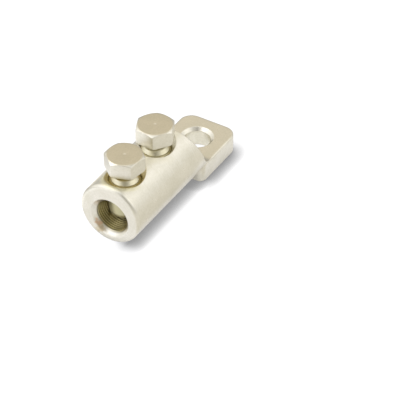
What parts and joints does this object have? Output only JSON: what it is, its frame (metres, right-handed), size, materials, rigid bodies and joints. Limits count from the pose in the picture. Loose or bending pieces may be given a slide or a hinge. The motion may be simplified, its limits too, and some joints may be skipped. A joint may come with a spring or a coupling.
{
  "type": "mechanical lug",
  "caption": "Round-barrel cable lug: hexagon shear bolts clamp a conductor in an offset blind bore, and a flat palm with a chamfered hole takes the stud.",
  "frame": {"origin": "the stud hole's axis on the palm's contact face", "axes": "+X along the barrel from the palm to the mouth where the cable leaves, +Z away from the contact face, towards the bolt heads"},
  "size_m": [0.0699, 0.024, 0.0321],
  "materials": {
    "tinned_body": "tin plated, satin, warm ivory grey",
    "tinned_bolt": "tin plated over turned brass, satin"
  },
  "bodies": {
    "body": {"lug_body": "tinned_body"},
    "front_bolt": {"front_shear_bolt": "tinned_bolt"},
    "rear_bolt": {"rear_shear_bolt": "tinned_bolt"}
  },
  "joints": [
    {"name": "front_bolt_screw", "type": "slide", "parent": "body", "child": "front_bolt", "axis": [0, 0, 1], "range_m": [-0.0015, 0.011]},
    {"name": "rear_bolt_screw", "type": "slide", "parent": "body", "child": "rear_bolt", "axis": [0, 0, 1], "range_m": [-0.0015, 0.011]}
  ]
}
